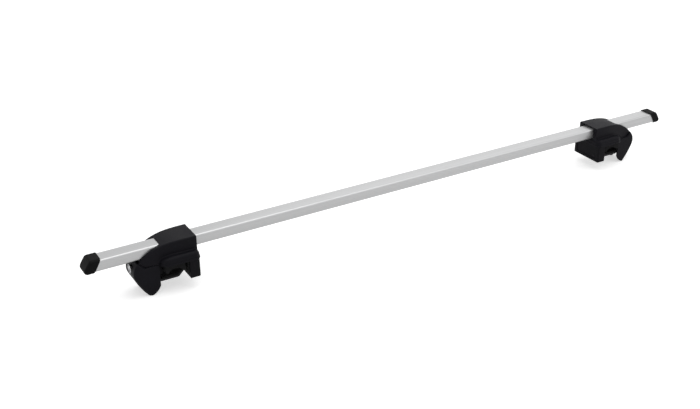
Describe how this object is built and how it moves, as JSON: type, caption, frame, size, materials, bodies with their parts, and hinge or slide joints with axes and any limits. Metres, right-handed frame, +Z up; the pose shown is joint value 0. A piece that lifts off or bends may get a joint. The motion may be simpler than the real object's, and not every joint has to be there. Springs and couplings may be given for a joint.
{
  "type": "roof rack crossbar",
  "caption": "Rectangular silver roof rack crossbar with mitred black end caps, on lockable black clamp feet that grip raised roof rails and slide along the bar.",
  "frame": {"origin": "centre of the bounding box, on the ground under the toes of the lock covers", "axes": "+X along the bar, +Y across it, +Z up"},
  "size_m": [1.3906, 0.0834, 0.1003],
  "materials": {
    "bar_aluminium": "satin anodised",
    "cap_plastic": "matt black",
    "cover_plastic": "fine grained black",
    "base_plastic": "matt black",
    "pad_rubber": "matt",
    "claw_steel": "black powder coat",
    "bracket_steel": "zinc plated",
    "zinc_steel": "zinc plated",
    "collar_plastic": "smooth black",
    "lock_chrome": "satin chrome"
  },
  "bodies": {
    "bar": {"crossbar": "bar_aluminium", "end_cap_left": "cap_plastic", "end_cap_right": "cap_plastic"},
    "foot_left": {"foot_cover_left": "cover_plastic", "foot_base_left": "base_plastic", "bar_bracket_left": "bracket_steel", "bracket_pin_left": "zinc_steel", "barrel_nut_left": "zinc_steel", "bar_liner_left": "pad_rubber", "cover_screws_left": "zinc_steel", "rail_pad_left": "pad_rubber", "block_pad_left": "pad_rubber"},
    "claw_left": {"claw_left": "claw_steel", "claw_pad_left": "pad_rubber"},
    "bolt_left": {"clamp_bolt_left": "zinc_steel", "clamp_washer_left": "zinc_steel"},
    "cover_left": {"lock_cover_left": "cover_plastic", "lock_collar_left": "collar_plastic"},
    "lock_left": {"lock_barrel_left": "lock_chrome", "lock_cam_left": "zinc_steel", "cam_screw_left": "zinc_steel"},
    "foot_right": {"foot_cover_right": "cover_plastic", "foot_base_right": "base_plastic", "bar_bracket_right": "bracket_steel", "bracket_pin_right": "zinc_steel", "barrel_nut_right": "zinc_steel", "bar_liner_right": "pad_rubber", "cover_screws_right": "zinc_steel", "rail_pad_right": "pad_rubber", "block_pad_right": "pad_rubber"},
    "claw_right": {"claw_right": "claw_steel", "claw_pad_right": "pad_rubber"},
    "bolt_right": {"clamp_bolt_right": "zinc_steel", "clamp_washer_right": "zinc_steel"},
    "cover_right": {"lock_cover_right": "cover_plastic", "lock_collar_right": "collar_plastic"},
    "lock_right": {"lock_barrel_right": "lock_chrome", "lock_cam_right": "zinc_steel", "cam_screw_right": "zinc_steel"}
  },
  "joints": [
    {"name": "foot_slide_left", "type": "slide", "parent": "bar", "child": "foot_left", "axis": [-1, 0, 0], "range_m": [-0.2, 0.03]},
    {"name": "claw_lift_left", "type": "slide", "parent": "foot_left", "child": "claw_left", "axis": [0, 0, 1], "range_m": [-0.012, 0.004]},
    {"name": "bolt_turn_left", "type": "hinge", "parent": "claw_left", "child": "bolt_left", "pos_m": [-0.579, 0, 0.029], "axis": [0, 0, 1], "range_deg": [-3456, 1152]},
    {"name": "cover_pull_left", "type": "slide", "parent": "foot_left", "child": "cover_left", "axis": [-1, 0, 0], "range_m": [0, 0.06]},
    {"name": "lock_turn_left", "type": "hinge", "parent": "cover_left", "child": "lock_left", "pos_m": [-0.597, 0, 0.053], "axis": [-1, 0, 0], "range_deg": [0, 90]},
    {"name": "foot_slide_right", "type": "slide", "parent": "bar", "child": "foot_right", "axis": [1, 0, 0], "range_m": [-0.2, 0.03]},
    {"name": "claw_lift_right", "type": "slide", "parent": "foot_right", "child": "claw_right", "axis": [0, 0, 1], "range_m": [-0.012, 0.004]},
    {"name": "bolt_turn_right", "type": "hinge", "parent": "claw_right", "child": "bolt_right", "pos_m": [0.579, 0, 0.029], "axis": [0, 0, 1], "range_deg": [-3456, 1152]},
    {"name": "cover_pull_right", "type": "slide", "parent": "foot_right", "child": "cover_right", "axis": [1, 0, 0], "range_m": [0, 0.06]},
    {"name": "lock_turn_right", "type": "hinge", "parent": "cover_right", "child": "lock_right", "pos_m": [0.597, 0, 0.053], "axis": [1, 0, 0], "range_deg": [0, 90]}
  ],
  "couplings": [
    {"joint": "bolt_turn_left", "follows": "claw_lift_left", "rad_per_m": 5026.5},
    {"joint": "bolt_turn_right", "follows": "claw_lift_right", "rad_per_m": 5026.5}
  ]
}
